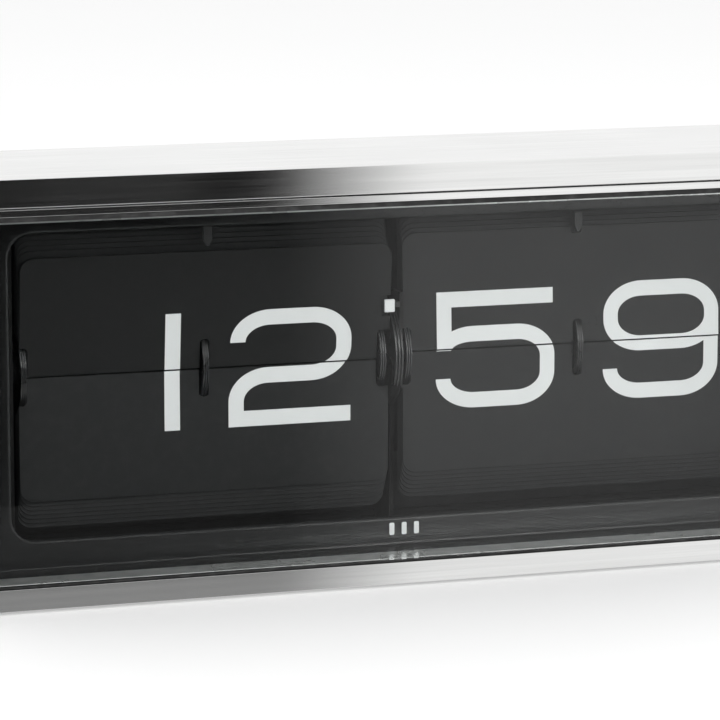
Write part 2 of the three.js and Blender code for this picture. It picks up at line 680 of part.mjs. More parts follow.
function buildTrain() {
  const axis = onAxis();
  const bore = AXLE_RADIUS + FIT;
  const pinionLeft = FAST_GEAR_X - FAST_PINION_THICK / 2;
  const minutePinion = gearAt(SMALL_TEETH, FAST_MODULE, bore, pinionLeft, FAST_PINION_THICK);
  addPart('minute_pinion', minutePinion, brass(), axis).rotation.x = Math.PI / SMALL_TEETH;
  const hourGear = gearAt(LARGE_TEETH, SLOW_MODULE, TUBE_RADIUS + FIT, HOUR_GEAR_LEFT, GEAR_THICK);
  addPart('hour_gear', hourGear, whitePlastic(), axis);
  const driveGear = gearAt(LARGE_TEETH, SLOW_MODULE, bore, DRIVE_GEAR_LEFT, GEAR_THICK);
  addPart('drive_gear', driveGear, whitePlastic(), axis);

  const reduction = onAxis();
  reduction.position.z += TRAIN_DISTANCE;
  const shaft = bar(SHAFT_RADIUS, SHAFT_LEFT, SHAFT_RIGHT, 0, 0, 10);
  addPart('reduction_shaft', shaft, steelShaft(), reduction);
  const gearLeft = FAST_GEAR_X - GEAR_THICK / 2;
  const gear = gearAt(MIDDLE_TEETH, FAST_MODULE, SHAFT_BORE, gearLeft, GEAR_THICK);
  addPart('reduction_gear', gear, whitePlastic(), reduction);
  const pinion = gearAt(PINION_TEETH, SLOW_MODULE, SHAFT_BORE, SLOW_PINION_LEFT, SLOW_PINION_THICK);
  addPart('reduction_pinion', pinion, brass(), reduction);

  const distance = SLOW_MODULE * (LARGE_TEETH + SMALL_TEETH) / 2;
  const angle = MOTOR_ANGLE * Math.PI / 180;
  const motor = onAxis();
  motor.position.y += distance * Math.cos(angle);
  motor.position.z += distance * Math.sin(angle);
  const can = bar(CAN_RADIUS, CAN_LEFT, CAN_RIGHT, 0, 0, 24);
  const plateFace = SIDE_PLATE_X + PLATE / 2 + FIT;
  const legs = CAN_LEGS.map(([y, z]) => (
    block(
      [plateFace, y - CAN_LEG_HALF, z - CAN_LEG_HALF],
      [CAN_LEG_RIGHT, y + CAN_LEG_HALF, z + CAN_LEG_HALF],
    )
  ));
  addPart('drive_motor', join(can, ...legs), steelShaft(), motor);
  const teeth = spurGear(SMALL_TEETH, SLOW_MODULE, MOTOR_SHAFT_RADIUS / 2, ...MOTOR_PINION);
  const motorPinion = join(teeth, bar(MOTOR_SHAFT_RADIUS, ...MOTOR_SHAFT, 0, 0, 8));
  addPart('motor_pinion', motorPinion, brass(), motor).rotation.x = Math.PI / SMALL_TEETH;
  addPart('circuit_board', block(BOARD_LOW, BOARD_HIGH), finish(0x1f4a33, 0.5, 0));
}

// ---- leaves -------------------------------------------------------------------------------------
// X places of the three discs, relative to the middle of a leaf.
const DISC_PLACES = [-DISC_SPACING, 0, DISC_SPACING].map((x) => x + DISC_SHIFT);

function discSlots(front, back, bottom, top) {
  const gap = DISC_THICK / 2 + SLOT_GAP;
  return DISC_PLACES.map((x, i) => {
    const left = i === 0 ? -LEAF_WIDTH / 2 - SLOT_MARGIN : x - gap;
    const right = i === 2 ? LEAF_WIDTH / 2 + SLOT_MARGIN : x + gap;
    return block([left, front, bottom], [right, back, top]);
  });
}

// Small cut-outs as [left, right, bottom, top].
// The hour leaf passes the index tab and the minute leaf passes its catch finger.
const INDEX_NOTCH_WIDTH = 3.4;
const INDEX_NOTCH = [LEAF_WIDTH / 2 - INDEX_NOTCH_WIDTH, LEAF_WIDTH / 2 + SLOT_MARGIN, 17.2, 25.4];
const FINGER_NOTCH_HALF = 2.3;
const FINGER_PLACE = MINUTE_FINGER_X - SET_CENTRE;
const FINGER_NOTCH = [FINGER_PLACE - FINGER_NOTCH_HALF, FINGER_PLACE + FINGER_NOTCH_HALF, 43.8, 50];

// One leaf, standing up from the split line at z = 0, with round outer corners.
function fallingLeaf([left, right, bottom, top]) {
  const half = LEAF_WIDTH / 2;
  const outline = new THREE.Shape();
  outline.moveTo(-half, FIT);
  outline.lineTo(half, FIT);
  outline.lineTo(half, LEAF_HEIGHT - LEAF_CORNER);
  outline.absarc(half - LEAF_CORNER, LEAF_HEIGHT - LEAF_CORNER, LEAF_CORNER, 0, Math.PI / 2);
  outline.lineTo(-half + LEAF_CORNER, LEAF_HEIGHT);
  outline.absarc(-half + LEAF_CORNER, LEAF_HEIGHT - LEAF_CORNER, LEAF_CORNER, Math.PI / 2, Math.PI);
  const notch = block([left, -SLOT_MARGIN, bottom], [right, SLOT_MARGIN, top]);
  const slots = discSlots(-SLOT_MARGIN, SLOT_MARGIN, -SLOT_MARGIN, NOTCH_HEIGHT);
  return cut(frontSlab(outline, LEAF_FRONT, LEAF_FRONT + LEAF_THICK, 4), notch, ...slots);
}

// Leaves standing behind the falling leaf: each pivot is higher and further back than the one before.
function upperPack() {
  const points = [[UPPER_FRONT, UPPER_FOOT]];
  for (let i = 1; i <= UPPER_STEPS; i += 1) {
    points.push([UPPER_FRONT + (i - 1) * LAYER, LEAF_HEIGHT + i * STACK_STEP]);
    points.push([UPPER_FRONT + i * LAYER, LEAF_HEIGHT + i * STACK_STEP]);
  }
  points.push([UPPER_FRONT + UPPER_STEPS * LAYER, UPPER_BACK_FOOT]);
  const slab = sideSlab(polygon(points), -LEAF_WIDTH / 2, LEAF_WIDTH / 2);
  const top = NOTCH_HEIGHT + UPPER_SLOT_RISE;
  return cut(slab, ...discSlots(-SLOT_MARGIN, SLOT_REACH, -SLOT_MARGIN, top));
}

// Leaves that have fallen: each hangs lower and further back than the one before.
function lowerPack() {
  const firstDrop = -LEAF_HEIGHT - STACK_STEP;
  const points = [[LOWER_FRONT, -FIT]];
  for (let i = 0; i < LOWER_STEPS; i += 1) {
    points.push([LOWER_FRONT + i * LAYER, firstDrop - i * STACK_STEP]);
    points.push([LOWER_FRONT + (i + 1) * LAYER, firstDrop - i * STACK_STEP]);
  }
  points.push([LOWER_FRONT + LOWER_STEPS * LAYER, -FIT]);
  const slab = sideSlab(polygon(points), -LEAF_WIDTH / 2, LEAF_WIDTH / 2);
  const bottom = -NOTCH_HEIGHT - LOWER_SLOT_DROP;
  return cut(slab, ...discSlots(-SLOT_MARGIN, SLOT_REACH, bottom, SLOT_MARGIN));
}

function rearPack() {
  const slots = discSlots(...REAR_SLOT, -NOTCH_HEIGHT - SLOT_MARGIN, SLOT_MARGIN);
  return cut(block(REAR_PACK_LOW, REAR_PACK_HIGH), ...slots);
}

function buildLeafSet(prefix, centre, splitZ, lean, leafNotch) {
  const atSplit = new THREE.Group();
  atSplit.position.set(centre, LEAF_DEPTH, splitZ);
  body.add(atSplit);
  const leaf = addPart(`${prefix}_leaf`, fallingLeaf(leafNotch), leafPlastic(), atSplit);
  leaf.rotation.x = lean * Math.PI / 180;
  const standing = addPart(`${prefix}_upper_pack`, upperPack(), leafPlastic(), atSplit);
  standing.rotation.x = Math.min(lean, 0) * Math.PI / 180;
  addPart(`${prefix}_lower_pack`, lowerPack(), leafPlastic(), atSplit);
  addPart(`${prefix}_rear_pack`, rearPack(), leafPlastic(), atSplit);
}

// ---- power --------------------------------------------------------------------------------------
function boxSection(outer) {
  const half = outer / 2;
  return roundedRectangle(
    BOX_CENTRE_X - half, BOX_CENTRE_Z - half, BOX_CENTRE_X + half, BOX_CENTRE_Z + half, BOX_RADIUS,
  );
}

function batteryBox() {
  const walls = frontRing(boxSection(BOX_OUTER), boxSection(BOX_OUTER - 2 * BOX_WALL), BOX_FRONT, BOX_BACK);
  const end = frontSlab(boxSection(BOX_OUTER), BOX_FRONT, BOX_FRONT + BOX_WALL);
  return join(walls, end);
}

function batteryCell() {
  const profile = [
    [0, CELL_FRONT], [CELL_RADIUS, CELL_FRONT], [CELL_RADIUS, CELL_BACK],
    [CELL_TIP_RADIUS, CELL_BACK], [CELL_TIP_RADIUS, CELL_TIP], [0, CELL_TIP],
  ];
  const points = profile.map(([radius, depth]) => new THREE.Vector2(radius, depth));
  return new THREE.LatheGeometry(points, 20);
}

class CoilCurve extends THREE.Curve {
  getPoint(t, target = new THREE.Vector3()) {
    const angle = t * SPRING_TURNS * 2 * Math.PI;
    const depth = SPRING_FRONT + SPRING_LENGTH * t;
    return target.set(SPRING_RADIUS * Math.cos(angle), depth, SPRING_RADIUS * Math.sin(angle));
  }
}

function coilSpring() {
  const wire = new THREE.Shape().absarc(0, 0, SPRING_WIRE, 0, 2 * Math.PI);
  return new THREE.ExtrudeGeometry(wire, {
    steps: SPRING_STEPS,
    extrudePath: new CoilCurve(),
    curveSegments: 3,
    bevelEnabled: false,
  });
}

// The door hangs from a round edge at its top, so that it opens without touching the panel.
function batteryDoor() {
  const half = BOX_OUTER / 2 - DOOR_GAP;
  const radius = PANEL_THICK / 2;
  const outline = new THREE.Shape();
  outline.moveTo(-radius, -2 * half + radius);
  outline.lineTo(radius, -2 * half + radius);
  outline.lineTo(radius, 0);
  outline.absarc(0, 0, radius, 0, Math.PI);
  return sideSlab(outline, -half, half);
}

function buildPower() {
  addPart('battery_box', batteryBox(), blackPlastic());
  const centred = new THREE.Group();
  centred.position.set(BOX_CENTRE_X, 0, BOX_CENTRE_Z);
  body.add(centred);
  addPart('battery_cell', batteryCell(), finish(0x3c4148, 0.35, 0.6), centred);
  addPart('battery_spring', coilSpring(), steelBright(), centred);
  const doorZ = BOX_CENTRE_Z + BOX_OUTER / 2 - DOOR_GAP - PANEL_THICK / 2;
  const door = addPart('battery_door', batteryDoor(), blackPlastic());
  door.position.set(BOX_CENTRE_X, PANEL_FRONT + PANEL_THICK / 2, doorZ);
  const blade = block(
    [-CONTACT_HALF, CONTACT_FRONT, -CONTACT_DROP],
    [CONTACT_HALF, CONTACT_FRONT + CONTACT_THICK, CONTACT_DROP],
  );
  const foot = block(
    [-CONTACT_HALF, CONTACT_FOOT_FRONT, -CONTACT_DROP],
    [CONTACT_HALF, PANEL_FRONT - CONTACT_PANEL_GAP, -CONTACT_FOOT_TOP],
  );
  addPart('battery_contact', join(blade, foot), steelBright(), centred);
}

buildCase();
buildMovementFrame();
buildDrums();
buildTrain();
buildLeafSet('hour', -SET_CENTRE, HOUR_SPLIT_Z, HOUR_LEAN, INDEX_NOTCH);
buildLeafSet('minute', SET_CENTRE, MINUTE_SPLIT_Z, MINUTE_LEAN, FINGER_NOTCH);
buildPower();

export default clock;
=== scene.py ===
import math
import bmesh
import bpy
from mathutils import Matrix, Vector


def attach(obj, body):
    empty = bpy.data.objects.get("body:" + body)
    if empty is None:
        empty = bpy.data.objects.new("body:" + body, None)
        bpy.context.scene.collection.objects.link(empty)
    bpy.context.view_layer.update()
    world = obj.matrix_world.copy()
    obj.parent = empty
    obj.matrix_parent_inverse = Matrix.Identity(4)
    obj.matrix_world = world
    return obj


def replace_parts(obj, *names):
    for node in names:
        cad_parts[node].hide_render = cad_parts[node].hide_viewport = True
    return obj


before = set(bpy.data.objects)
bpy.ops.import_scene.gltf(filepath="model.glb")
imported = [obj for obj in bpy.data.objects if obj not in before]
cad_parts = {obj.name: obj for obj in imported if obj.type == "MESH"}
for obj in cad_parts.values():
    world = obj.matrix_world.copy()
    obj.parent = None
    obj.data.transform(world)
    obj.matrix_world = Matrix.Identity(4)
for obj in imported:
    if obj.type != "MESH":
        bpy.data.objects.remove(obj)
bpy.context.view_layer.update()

# ---- dimensions, in mm from the middle of the case front: x across, depth back, z up ----------------
MM = 0.001
FRONT_Y = -0.045
CASE_Z = 0.0012
CASE_HALF = 185.0
CASE_TOP = 160.0
SHEET = 1.2
FLANGE = 10.7
SIDE_FLANGE = 8.5
SEAM = 0.6
FRAME_HALF = CASE_HALF - SIDE_FLANGE - SEAM
FRAME_TOP = CASE_TOP - FLANGE - SEAM
SIDE_BAND = 2.6
BOTTOM_BAND = 8.2
OPENING_HALF = FRAME_HALF - SIDE_BAND
OPENING_TOP = FRAME_TOP - SIDE_BAND
FRAME_RETURN = 14.0
GASKET = 1.9
GASKET_BOTTOM = 1.0
SLEEVE_HALF = OPENING_HALF - GASKET
SLEEVE_WALL = 1.0
SLEEVE_BOTTOM = BOTTOM_BAND + GASKET_BOTTOM - SLEEVE_WALL
SLEEVE_TOP = OPENING_TOP - GASKET
SLEEVE_FRONT = 3.9
SLEEVE_BACK = 15.3
MASK_FRONT = 27.0
MASK_THICK = 1.5
WINDOW = (159.0, 20.0, 136.0, 9.0)
AXIS_DEPTH = 65.0
AXIS_Z = 78.6
LEAF_DEPTH = 51.0
LEAF_HEIGHT = 46.4
LEAF_HALF = 147.3 / 2
LEAF_CORNER = 5.5
LEAF_THICK = 0.4
SPLIT = {"hour": AXIS_Z - 0.8, "minute": AXIS_Z + 1.4}
CENTRE = {"hour": -76.7, "minute": 76.7}
LEAN = {"hour": 5.7, "minute": -2.7}
SPLIT_GAP = 0.35
STEP = 1.85
LAYER = 1.0
LEAF_FRONT = 0.15
UPPER_FRONT = 0.95
UPPER_LEAVES = 6
LOWER_FRONT = 0.7
LOWER_LEAVES = 7
LEAF_EASE = 0.1
INK = 0.08
STROKE = 6.1
DISC_RADIUS = 17.2
DISC_THICK = 2.2
DISC_PLACES = (-72.3, -0.9, 70.5)
DISC_SEGMENTS = 120
TUBE_BORE = 5.3
AXLE_BORE = 2.3
CENTRE_DISC = {"x": -1.05, "thick": 3.1, "radius": 21.6}
PANEL_BACK = 88.75
SCREW_X = 174.5
SCREW_Z = (7, 153)

# ---- studio, in metres -------------------------------------------------------------------------------
CAMERA_PLACE = (-0.47076, -1.39197, 0.33054)
CAMERA_YAW = 18.070
CAMERA_PITCH = 9.709
CAMERA_LENS = 191.96
CAMERA_SENSOR = 36.0
FLOOR_HALF = 6.0
CARD_Y = -0.65
CARD_LEFT, CARD_RIGHT = -3.0, 0.26
CARD_BOTTOM, CARD_FOOT, CARD_TOP = -0.4, -0.09, 0.4


def at(x, depth, z):
    return Vector((x * MM, depth * MM + FRONT_Y, z * MM + CASE_Z))


# ---- materials ------------------------------------------------------------------------------------
class Shader:
    """A Principled material with a few helpers to wire its textures."""

    def __init__(self, name, colour, roughness, metallic=0.0):
        self.material = bpy.data.materials.new(name)
        self.material.use_nodes = True
        self.nodes = self.material.node_tree.nodes
        self.links = self.material.node_tree.links
        self.bsdf = self.nodes["Principled BSDF"]
        self.bsdf.inputs["Base Color"].default_value = (*colour, 1)
        self.bsdf.inputs["Roughness"].default_value = roughness
        self.bsdf.inputs["Metallic"].default_value = metallic
        self.colour = colour
        self.place = self.nodes.new("ShaderNodeTexCoord").outputs["Object"]

    def noise(self, scale, detail=3.0, stretch=(1, 1, 1)):
        mapping = self.nodes.new("ShaderNodeMapping")
        mapping.inputs["Scale"].default_value = stretch
        self.links.new(self.place, mapping.inputs["Vector"])
        node = self.nodes.new("ShaderNodeTexNoise")
        node.inputs["Scale"].default_value = scale
        node.inputs["Detail"].default_value = detail
        self.links.new(mapping.outputs["Vector"], node.inputs["Vector"])
        return node.outputs["Fac"]

    def spread(self, value, low, high, start=0.3, end=0.7):
        node = self.nodes.new("ShaderNodeMapRange")
        node.inputs["From Min"].default_value = start
        node.inputs["From Max"].default_value = end
        node.inputs["To Min"].default_value = low
        node.inputs["To Max"].default_value = high
        self.links.new(value, node.inputs["Value"])
        return node.outputs["Result"]

    def math(self, kind, a, b):
        node = self.nodes.new("ShaderNodeMath")
        node.operation = kind
        for socket, value in zip(node.inputs, (a, b)):
            if isinstance(value, (int, float)):
                socket.default_value = value
            else:
                self.links.new(value, socket)
        return node.outputs["Value"]

    def facing(self, axis):
        """1 where the surface faces mostly along an axis."""
        normal = self.nodes.new("ShaderNodeSeparateXYZ")
        geometry = self.nodes.new("ShaderNodeNewGeometry")
        self.links.new(geometry.outputs["True Normal"], normal.inputs["Vector"])
        return self.math("GREATER_THAN", self.math("ABSOLUTE", normal.outputs[axis], 0), 0.5)

    def grain(self, along, across, detail):
        """Streaks along X, and along Y on the ends of the case."""
        mix = self.nodes.new("ShaderNodeMix")
        mix.data_type = "FLOAT"
        self.links.new(self.facing("X"), mix.inputs["Factor"])
        self.links.new(self.noise(1.0, detail, (along, across, across)), mix.inputs["A"])
        self.links.new(self.noise(1.0, detail, (across, along, across)), mix.inputs["B"])
        return mix.outputs["Result"]

    def along_case(self):
        """Tangents that run along X on the front, back, top and bottom, and along Y on the ends."""
        upright, flat = self.nodes.new("ShaderNodeTangent"), self.nodes.new("ShaderNodeTangent")
        for node, axis in ((upright, "Z"), (flat, "Y")):
            node.direction_type = "RADIAL"
            node.axis = axis
        mix = self.nodes.new("ShaderNodeMix")
        mix.data_type = "VECTOR"
        vectors = [socket for socket in mix.inputs if socket.type == "VECTOR"][-2:]
        self.links.new(self.facing("Z"), mix.inputs["Factor"])
        self.links.new(upright.outputs["Tangent"], vectors[0])
        self.links.new(flat.outputs["Tangent"], vectors[1])
        return [socket for socket in mix.outputs if socket.type == "VECTOR"][0]

    def roughness(self, value):
        self.links.new(value, self.bsdf.inputs["Roughness"])

    def tint(self, factor, other):
        node = self.nodes.new("ShaderNodeMix")
        node.data_type = "RGBA"
        node.inputs["A"].default_value = (*self.colour, 1)
        node.inputs["B"].default_value = (*other, 1)
        self.links.new(factor, node.inputs["Factor"])
        self.links.new(node.outputs["Result"], self.bsdf.inputs["Base Color"])

    def bump(self, height, distance):
        node = self.nodes.new("ShaderNodeBump")
        node.inputs["Distance"].default_value = distance * MM
        node.inputs["Strength"].default_value = 1.0
        self.links.new(height, node.inputs["Height"])
        if self.bsdf.inputs["Normal"].is_linked:
            self.links.new(self.bsdf.inputs["Normal"].links[0].from_socket, node.inputs["Normal"])
        self.links.new(node.outputs["Normal"], self.bsdf.inputs["Normal"])


def brushed(name, colour, low, high, depth):
    """Steel brushed along X: long fine scratches, smudges, and reflections drawn out across the grain."""
    s = Shader(name, colour, low, 1.0)
    s.bsdf.inputs["Anisotropic"].default_value = 0.85
    s.bsdf.inputs["Anisotropic Rotation"].default_value = 0.25
    s.links.new(s.along_case(), s.bsdf.inputs["Tangent"])
    fine = s.grain(18, 2600, 2.0)
    coarse = s.grain(9, 700, 3.0)
    smudge = s.noise(14.0, 3.0)
    grain = s.math("ADD", s.math("MULTIPLY", fine, 0.6), s.math("MULTIPLY", coarse, 0.4))
    s.roughness(s.math("ADD", s.spread(grain, low, high), s.spread(smudge, -0.02, 0.03)))
    s.tint(s.spread(coarse, 0.0, 1.0), tuple(c * 0.9 for c in colour))
    s.bump(fine, depth)
    s.bump(coarse, depth * 2.2)
    return s.material


def moulded(name, colour, low, high, grain=700.0, depth=0.02, dust=0.06, gloss=0.5):
    """Moulded plastic: a fine spark-eroded grain, uneven gloss and a little pale dust."""
    s = Shader(name, colour, low)
    s.bump(s.noise(grain, 2.0), depth)
    s.roughness(s.spread(s.noise(24.0, 4.0), low, high))
    pale = tuple(c + (0.5 - c) * dust for c in colour)
    s.tint(s.spread(s.noise(260.0, 6.0), 0.0, 1.0, 0.45, 0.8), pale)
    s.bsdf.inputs["Specular IOR Level"].default_value = gloss
    return s.material


def satin_steel():
    """Bead-blasted steel under clear lacquer."""
    s = Shader("sleeve_steel_satin", (0.7, 0.71, 0.705), 0.4, 0.65)
    s.roughness(s.spread(s.noise(40.0, 4.0), 0.24, 0.34))
    s.tint(s.spread(s.noise(120.0, 4.0), 0.0, 1.0), (0.5, 0.51, 0.505))
    s.bump(s.noise(900.0, 2.0), 0.001)
    s.bsdf.inputs["Coat Weight"].default_value = 1.0
    s.bsdf.inputs["Coat Roughness"].default_value = 0.06
    return s.material


def turned_metal(name, colour, low, high):
    """Machined metal with fine lathe marks round its axis."""
    s = Shader(name, colour, low, 1.0)
    marks = s.noise(1.0, 2.0, (3000, 160, 160))
    s.bump(marks, 0.01)
    s.roughness(s.spread(marks, low, high))
    s.tint(s.spread(s.noise(90.0, 4.0), 0.0, 1.0), tuple(c * 0.78 for c in colour))
    return s.material


def glass_material():
    """Clear glass that lets shadow rays straight through."""
    s = Shader("clear_float_glass", (0.985, 0.995, 0.99), 0.0)
    s.bsdf.inputs["Transmission Weight"].default_value = 1.0
    s.bsdf.inputs["IOR"].default_value = 1.28
    clear = s.nodes.new("ShaderNodeBsdfTransparent")
    clear.inputs["Color"].default_value = (0.97, 0.985, 0.975, 1)
    mix = s.nodes.new("ShaderNodeMixShader")
    path = s.nodes.new("ShaderNodeLightPath")
    s.links.new(path.outputs["Is Shadow Ray"], mix.inputs["Fac"])
    s.links.new(s.bsdf.outputs["BSDF"], mix.inputs[1])
    s.links.new(clear.outputs["BSDF"], mix.inputs[2])
    s.links.new(mix.outputs["Shader"], s.nodes["Material Output"].inputs["Surface"])
    return s.material


def wrap_material():
    """Printed sleeve of the cell: dark film with a copper-coloured end."""
    s = Shader("cell_film", (0.045, 0.05, 0.06), 0.3, 0.2)
    split = s.nodes.new("ShaderNodeSeparateXYZ")
    s.links.new(s.place, split.inputs["Vector"])
    s.tint(s.math("GREATER_THAN", split.outputs["Y"], 0.024), (0.55, 0.3, 0.14))
    s.roughness(s.spread(s.noise(60.0), 0.24, 0.4))
    s.bump(s.noise(300.0), 0.02)
    return s.material


def board_material():
    """Solder resist over a weave of glass fibre."""
    s = Shader("solder_resist", (0.012, 0.075, 0.035), 0.35)
    warp = s.noise(1.0, 1.0, (1, 300, 2500))
    weft = s.noise(1.0, 1.0, (1, 2500, 300))
    weave = s.math("MULTIPLY", warp, weft)
    s.tint(s.spread(weave, 0.0, 1.0, 0.15, 0.35), (0.02, 0.12, 0.055))
    s.bump(weave, 0.03)
    s.roughness(s.spread(s.noise(80.0), 0.28, 0.45))
    return s.material


def floor_material():
    """Plain pale floor that shines a little, to stay close to white."""
    s = Shader("studio_floor", (0.96, 0.96, 0.96), 0.7)
    s.tint(s.noise(3.0), (0.95, 0.95, 0.95))
    s.bsdf.inputs["Emission Color"].default_value = (1, 1, 1, 1)
    s.bsdf.inputs["Emission Strength"].default_value = 0.07
    return s.material


MATERIALS = {
    "brushed_case_steel": brushed("case_steel_brushed", (0.88, 0.883, 0.875), 0.11, 0.17, 0.0018),
    "bright_steel": satin_steel(),
    "plain_steel": turned_metal("steel_turned", (0.52, 0.53, 0.54), 0.25, 0.42),
    "black_rubber": moulded("rubber_black", (0.012, 0.012, 0.012), 0.6, 0.8, grain=420.0, depth=0.05),
    "clear_glass": glass_material(),
    "gloss_black": moulded(
        "mask_gloss_black", (0.008, 0.0083, 0.0085), 0.16, 0.24,
        grain=80.0, depth=0.003, dust=0.004, gloss=0.4,
    ),
    "leaf_plastic": moulded(
        "leaf_satin_black", (0.0085, 0.0088, 0.009), 0.36, 0.46,
        grain=90.0, depth=0.004, dust=0.004, gloss=0.3,
    ),
    "white_plastic": moulded(
        "print_white", (0.765, 0.775, 0.78), 0.4, 0.55, grain=300.0, depth=0.002, dust=0.02,
    ),
    "gear_plastic": moulded(
        "gear_acetal", (0.78, 0.77, 0.72), 0.35, 0.5, grain=500.0, depth=0.02, dust=0.1,
    ),
    "pinion_brass": turned_metal("brass_turned", (0.78, 0.56, 0.24), 0.22, 0.4),
    "board_green": board_material(),
    "cell_wrap": wrap_material(),
    # Painted light: a lighter copy of the leaf black for the packs, standing in for light on the stacked
    # leaves.
    "stacked_leaf": moulded(
        "leaf_handled_black", (0.02, 0.0205, 0.021), 0.44, 0.56,
        grain=90.0, depth=0.004, dust=0.01, gloss=0.2,
    ),
    "blackened_steel": moulded(
        "steel_blackened", (0.01, 0.01, 0.01), 0.5, 0.65,
        grain=200.0, depth=0.01, dust=0.01, gloss=0.2,
    ),
    "drum_black": moulded(
        "drum_semi_gloss_black", (0.014, 0.0142, 0.0148), 0.24, 0.34,
        grain=200.0, depth=0.004, dust=0.02, gloss=0.8,
    ),
    "matte_black": moulded(
        "moulding_matte_black", (0.016, 0.016, 0.017), 0.42, 0.58, grain=900.0, depth=0.02, dust=0.015,
    ),
}


# ---- mesh helpers ---------------------------------------------------------------------------------
def piece(name, bm, slot, body="root", smooth=30.0, finish=None):
    """Turns a bmesh in case millimetres into a finished piece that rides a body."""
    bmesh.ops.remove_doubles(bm, verts=bm.verts, dist=0.0005)
    bmesh.ops.recalc_face_normals(bm, faces=bm.faces)
    for vertex in bm.verts:
        vertex.co = at(*vertex.co)
    mesh = bpy.data.meshes.new(name)
    bm.to_mesh(mesh)
    bm.free()
    mesh.materials.append(MATERIALS[finish or slot])
    obj = bpy.data.objects.new(name, mesh)
    bpy.context.scene.collection.objects.link(obj)
    mesh.shade_smooth()
    mesh.set_sharp_from_angle(angle=math.radians(smooth))
    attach(obj, body)
    return obj


def loop(half, bottom, top, radius, depth, steps=8):
    """A rectangle with round corners in a plane of constant depth."""
    points = []
    corners = ((half, top, 0), (-half, top, 90), (-half, bottom, 180), (half, bottom, 270))
    for x, z, start in corners:
        cx = x - math.copysign(radius, x)
        cz = z - radius if z == top else z + radius
        for i in range(steps + 1):
            angle = math.radians(start + 90 * i / steps)
            points.append((cx + radius * math.cos(angle), depth, cz + radius * math.sin(angle)))
    return points


def wall(bm, a, b):
    """Faces between two rings of vertices with equal numbers."""
    for i in range(len(a)):
        j = (i + 1) % len(a)
        bm.faces.new((a[i], a[j], b[j], b[i]))


def ring(name, sections, slot, **options):
    """A frame of closed section: each entry is (half, bottom, top, radius, depth)."""
    bm = bmesh.new()
    rings = [[bm.verts.new(p) for p in loop(*section)] for section in sections]
    for a, b in zip(rings, rings[1:] + rings[:1]):
        wall(bm, a, b)
    return piece(name, bm, slot, **options)


def slab(bm, outline, front, back, ease=0.0):
    """A plate of an (x, z) outline between two depths, with its front rim eased."""
    area = sum(a[0] * b[1] - b[0] * a[1] for a, b in zip(outline, outline[1:] + outline[:1]))
    points = outline if area > 0 else outline[::-1]
    back_ring = [bm.verts.new((x, back, z)) for x, z in points]
    mid_ring = [bm.verts.new((x, front + ease, z)) for x, z in points]
    rings = [back_ring, mid_ring]
    if ease:
        rings.append([bm.verts.new((x, front, z)) for x, z in inset(points, ease)])
    for a, b in zip(rings, rings[1:]):
        wall(bm, a, b)
    bm.faces.new(rings[-1])
    bm.faces.new(back_ring[::-1])


def inset(points, amount):
    """Moves an anticlockwise outline inwards by a small amount."""
    moved = []
    count = len(points)
    for i, (x, z) in enumerate(points):
        px, pz = points[i - 1]
        nx, nz = points[(i + 1) % count]
        before = Vector((-(z - pz), x - px)).normalized()
        after = Vector((-(nz - z), nx - x)).normalized()
        mitre = (before + after) / max(0.3, 1 + before.dot(after))
        moved.append((x + mitre.x * amount, z + mitre.y * amount))
    return moved


def turn(bm, split, angle):
    """Rotates everything in a bmesh about the split line; positive leans the top forwards."""
    pivot = Vector((0.0, LEAF_DEPTH, split))
    bmesh.ops.rotate(bm, verts=bm.verts, cent=pivot, matrix=Matrix.Rotation(math.radians(angle), 3, "X"))


def lathe(bm, profile, segments):
    """Revolves a closed (x, radius) profile about the drums' axis."""
    columns = []
    for i in range(segments):
        angle = 2 * math.pi * i / segments
        columns.append([
            bm.verts.new((x, AXIS_DEPTH + radius * math.cos(angle), AXIS_Z + radius * math.sin(angle)))
            for x, radius in profile
        ])
    for i in range(segments):
        a, b = columns[i], columns[(i + 1) % segments]
        for k in range(len(profile)):
            m = (k + 1) % len(profile)
            bm.faces.new((a[k], b[k], b[m], a[m]))


# ---- case -----------------------------------------------------------------------------------------
def finish_cad_node(name, width):
    """Welds a CAD node's facets and rounds its hard edges."""
    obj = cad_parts[name]
    obj.modifiers.new("weld", "WELD").merge_threshold = 0.00001
    bevel = obj.modifiers.new("ease", "BEVEL")
    bevel.width = width * MM
    bevel.segments = 2
    bevel.limit_method = "ANGLE"
    bevel.angle_limit = math.radians(40)
    bevel.use_clamp_overlap = True


def grown(section, amount):
    """A (half, bottom, top) opening made larger all round; a negative amount makes it smaller."""
    half, bottom, top = section
    return (half + amount, bottom - amount, top + amount)


def build_frame():
    """Inner steel frame: a narrow face at the top and sides, a wide one below, and a return."""
    outer = (FRAME_HALF, 0.0, FRAME_TOP)
    inner = (OPENING_HALF, BOTTOM_BAND, OPENING_TOP)
    ease = 0.12
    shoulder = ease * 0.3
    outer_radius, inner_radius = 0.8, 0.5
    sections = [
        (*outer, outer_radius, FRAME_RETURN),
        (*outer, outer_radius, ease),
        (*grown(outer, -shoulder), outer_radius, shoulder),
        (*grown(outer, -ease), outer_radius, 0.0),
        (*grown(inner, ease), inner_radius, 0.0),
        (*grown(inner, shoulder), inner_radius, shoulder),
        (*inner, inner_radius, ease),
        (*inner, inner_radius, SHEET),
        (*grown(outer, -SHEET), inner_radius, SHEET),
        (*grown(outer, -SHEET), inner_radius, FRAME_RETURN),
    ]
    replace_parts(ring("steel_frame", sections, "brushed_case_steel", smooth=15.0), "front_frame")


